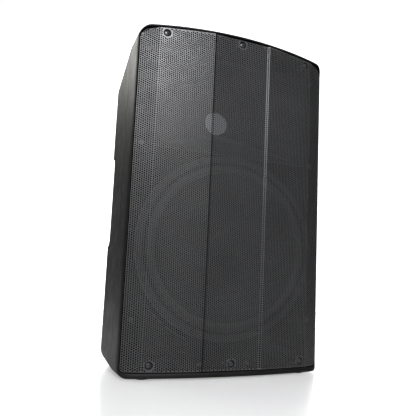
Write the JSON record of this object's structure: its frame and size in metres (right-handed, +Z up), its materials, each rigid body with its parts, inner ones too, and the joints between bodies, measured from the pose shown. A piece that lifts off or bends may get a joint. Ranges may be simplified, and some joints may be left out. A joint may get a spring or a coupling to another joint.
{
  "type": "pa speaker cabinet",
  "caption": "Moulded active PA loudspeaker with a folded full-height steel grille over a woofer and horn, side handles, pole socket and rear amplifier panel.",
  "frame": {"origin": "on the floor, under the middle of the cabinet width and depth", "axes": "+Z up, -Y is the way the grille faces, +X to the right seen from the front"},
  "size_m": [0.425, 0.375, 0.7],
  "materials": {
    "shell_plastic": "fine-grained satin black moulding",
    "grille_paint": "satin powder coat on steel",
    "black_steel": "black zinc",
    "basket_alloy": "black painted die casting",
    "gasket_foam": "matt",
    "surround_cloth": "coated accordion cloth",
    "cone_paper": "ribbed pulp",
    "cap_paper": "smooth pulp",
    "coil_copper": "enamelled wire",
    "spider_cloth": "resin-dipped cloth",
    "motor_steel": "plated",
    "ferrite": "matt sintered",
    "horn_plastic": "satin black",
    "driver_alloy": "machined",
    "dome_metal": "bright foil",
    "screen_mesh": "fine woven mesh",
    "port_plastic": "matt black",
    "grip_rubber": "soft-touch",
    "foot_rubber": "matt",
    "socket_plastic": "glass-filled, fine grain",
    "zinc_steel": "zinc plated",
    "panel_paint": "fine texture powder coat",
    "sink_alloy": "black anodised",
    "circuit_board": "solder mask",
    "can_sleeve": "shrink sleeve",
    "knob_plastic": "satin with a pale pointer",
    "shaft_alloy": "turned",
    "connector_plastic": "satin",
    "rocker_plastic": "gloss red",
    "button_plastic": "grey",
    "led_lens": "clear green",
    "wire_pvc": "sleeved lead"
  },
  "bodies": {
    "cabinet": {"front_frame": "shell_plastic", "rear_shell": "shell_plastic", "shell_screws": "black_steel", "grille": "grille_paint", "grille_screws": "black_steel", "woofer_basket": "basket_alloy", "basket_gasket": "gasket_foam", "surround": "surround_cloth", "spider": "spider_cloth", "top_plate": "motor_steel", "magnet": "ferrite", "back_plate": "motor_steel", "woofer_screws": "black_steel", "woofer_nuts": "zinc_steel", "horn": "horn_plastic", "horn_screws": "black_steel", "driver_plate": "driver_alloy", "driver_magnet": "ferrite", "driver_cover": "horn_plastic", "throat_screen": "screen_mesh", "port_left": "port_plastic", "port_right": "port_plastic", "handle_cup_left": "shell_plastic", "handle_cup_right": "shell_plastic", "grip_left": "grip_rubber", "grip_right": "grip_rubber", "grip_screws": "black_steel", "feet": "foot_rubber", "pole_socket": "socket_plastic", "pole_screws": "black_steel", "rigging_inserts": "zinc_steel", "amp_panel": "panel_paint", "panel_screws": "black_steel", "heat_sink": "sink_alloy", "amp_board": "circuit_board", "capacitors": "can_sleeve", "control_board": "circuit_board", "pots": "zinc_steel", "input_sockets": "connector_plastic", "link_socket": "connector_plastic", "mains_inlet": "connector_plastic", "rocker_frame": "connector_plastic", "led_lenses": "led_lens", "wiring": "wire_pvc"},
    "cone_assembly": {"cone": "cone_paper", "dust_cap": "cap_paper", "voice_coil": "coil_copper"},
    "treble_diaphragm": {"driver_dome": "dome_metal"},
    "level_1_control": {"level_1_knob": "knob_plastic", "level_1_shaft": "shaft_alloy"},
    "level_2_control": {"level_2_knob": "knob_plastic", "level_2_shaft": "shaft_alloy"},
    "treble_control": {"treble_knob": "knob_plastic", "treble_shaft": "shaft_alloy"},
    "bass_control": {"bass_knob": "knob_plastic", "bass_shaft": "shaft_alloy"},
    "power_switch": {"power_rocker": "rocker_plastic"},
    "mic_line_1": {"mic_line_button_1": "button_plastic"},
    "mic_line_2": {"mic_line_button_2": "button_plastic"},
    "mode_select": {"mode_button": "button_plastic"}
  },
  "joints": [
    {"name": "cone_travel", "type": "slide", "parent": "cabinet", "child": "cone_assembly", "axis": [0, -1, 0], "range_m": [-0.007, 0.007], "stiffness_N_per_m": 3000},
    {"name": "diaphragm_travel", "type": "slide", "parent": "cabinet", "child": "treble_diaphragm", "axis": [0, -1, 0], "range_m": [-0.0003, 0.0003], "stiffness_N_per_m": 1000},
    {"name": "level_1_turn", "type": "hinge", "parent": "cabinet", "child": "level_1_control", "pos_m": [0.066, 0.166, 0.545], "axis": [0, 1, 0], "range_deg": [-150, 150]},
    {"name": "level_2_turn", "type": "hinge", "parent": "cabinet", "child": "level_2_control", "pos_m": [0.022, 0.166, 0.545], "axis": [0, 1, 0], "range_deg": [-150, 150]},
    {"name": "treble_turn", "type": "hinge", "parent": "cabinet", "child": "treble_control", "pos_m": [-0.022, 0.166, 0.545], "axis": [0, 1, 0], "range_deg": [-150, 150]},
    {"name": "bass_turn", "type": "hinge", "parent": "cabinet", "child": "bass_control", "pos_m": [-0.066, 0.166, 0.545], "axis": [0, 1, 0], "range_deg": [-150, 150]},
    {"name": "power_rock", "type": "hinge", "parent": "cabinet", "child": "power_switch", "pos_m": [-0.01, 0.165, 0.165], "axis": [1, 0, 0], "range_deg": [-16, 0]},
    {"name": "mic_line_1_press", "type": "slide", "parent": "cabinet", "child": "mic_line_1", "axis": [0, -1, 0], "range_m": [0, 0.002]},
    {"name": "mic_line_2_press", "type": "slide", "parent": "cabinet", "child": "mic_line_2", "axis": [0, -1, 0], "range_m": [0, 0.002]},
    {"name": "mode_press", "type": "slide", "parent": "cabinet", "child": "mode_select", "axis": [0, -1, 0], "range_m": [0, 0.002], "stiffness_N_per_m": 300}
  ]
}
